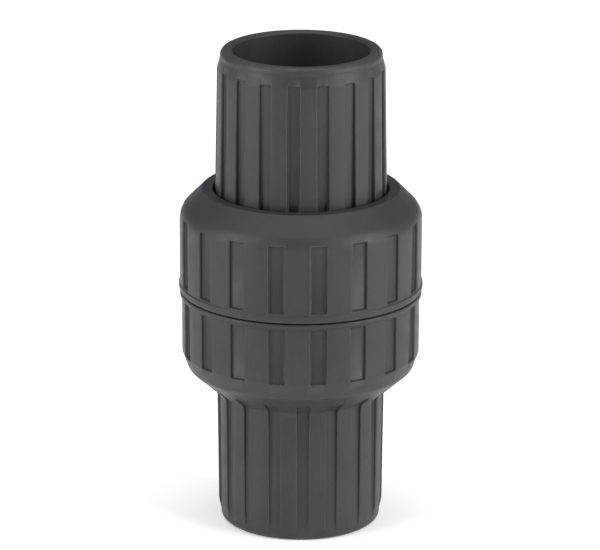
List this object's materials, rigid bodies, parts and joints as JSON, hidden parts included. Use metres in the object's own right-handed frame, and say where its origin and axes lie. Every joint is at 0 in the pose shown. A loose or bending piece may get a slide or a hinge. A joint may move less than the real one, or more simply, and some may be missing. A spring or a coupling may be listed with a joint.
{
  "type": "check valve",
  "caption": "Ribbed plastic check valve with a union nut, solvent-cement pipe sockets and a spring-loaded poppet that lets water flow upward only.",
  "frame": {"origin": "centre of the lower mouth's rim, on the flow axis", "axes": "+Z along the flow axis, from the lower socket to the upper one; the pictured side faces -Y"},
  "size_m": [0.09, 0.09, 0.1801],
  "materials": {
    "moulded_pvc": "dark grey moulded PVC-U, satin, with rounded rib edges",
    "inner_pvc": "dark grey moulded PVC-U, smooth",
    "epdm_rubber": "black EPDM, matt",
    "ptfe": "white PTFE, waxy",
    "stainless_steel": "drawn stainless steel"
  },
  "bodies": {
    "valve_body": {"valve_body": "moulded_pvc", "guide_cage": "inner_pvc", "guide_bush": "ptfe", "spring": "stainless_steel"},
    "poppet": {"poppet": "inner_pvc", "poppet_seal": "epdm_rubber", "seal_retainer": "inner_pvc", "retainer_screw": "stainless_steel", "screw_washer": "stainless_steel"},
    "union_end": {"union_end": "moulded_pvc", "union_o_ring": "epdm_rubber"},
    "union_nut": {"union_nut": "moulded_pvc"}
  },
  "joints": [
    {"name": "poppet_lift", "type": "slide", "parent": "valve_body", "child": "poppet", "axis": [0, 0, 1], "range_m": [0, 0.012], "stiffness_N_per_m": 700, "springref_m": -0.004, "deforming": ["spring"]},
    {"name": "union_lift", "type": "slide", "parent": "valve_body", "child": "union_end", "axis": [0, 0, 1], "range_m": [0, 0.024]},
    {"name": "nut_turn", "type": "hinge", "parent": "union_end", "child": "union_nut", "pos_m": [0, 0, 0.1175], "axis": [0, 0, 1], "range_deg": [0, 2160]}
  ],
  "couplings": [
    {"joint": "union_lift", "follows": "nut_turn", "m_per_rad": 0.0006366}
  ]
}
